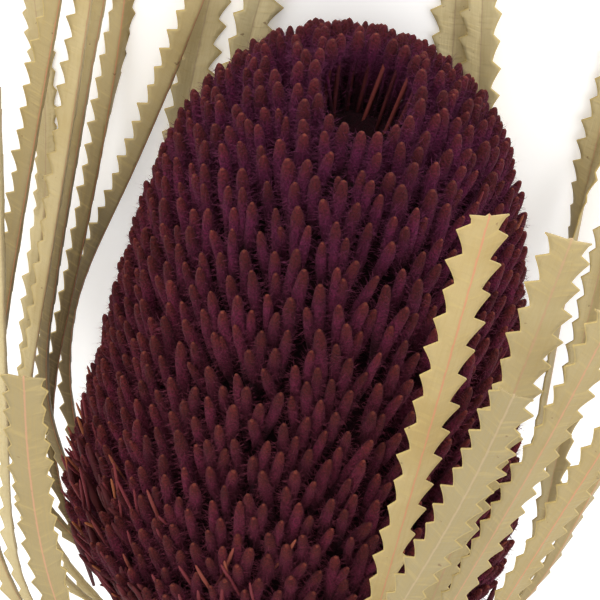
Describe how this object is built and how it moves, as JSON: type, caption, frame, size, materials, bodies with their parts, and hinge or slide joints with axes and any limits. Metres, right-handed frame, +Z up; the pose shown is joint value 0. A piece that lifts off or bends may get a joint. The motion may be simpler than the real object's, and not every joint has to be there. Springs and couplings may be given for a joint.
{
  "type": "banksia cone",
  "caption": "Cut banksia stem lying on its flank: a dyed woolly flower head with a hollow in its crown, among dry saw-toothed strap leaves.",
  "frame": {"origin": "on the table, below the middle of the object's bounding box", "axes": "+Z up from the table, +Y along the stem towards the crown of the flower head, +X to the right of someone who looks along +Y from above"},
  "size_m": [0.1542, 0.2138, 0.1094],
  "materials": {
    "floret": "matt, woolly, dyed burgundy",
    "leaf": "dry, satin, straw coloured",
    "bark": "matt brown bark"
  },
  "bodies": {
    "root": {"flower_head": "floret", "stem": "bark", "leaf_01": "leaf", "leaf_02": "leaf", "leaf_03": "leaf", "leaf_04": "leaf", "leaf_05": "leaf", "leaf_06": "leaf", "leaf_07": "leaf", "leaf_08": "leaf", "leaf_09": "leaf", "leaf_10": "leaf", "leaf_11": "leaf", "leaf_12": "leaf", "leaf_13": "leaf", "leaf_14": "leaf", "leaf_15": "leaf", "leaf_16": "leaf", "leaf_17": "leaf", "leaf_18": "leaf", "leaf_19": "leaf", "leaf_20": "leaf", "leaf_21": "leaf"}
  },
  "joints": []
}
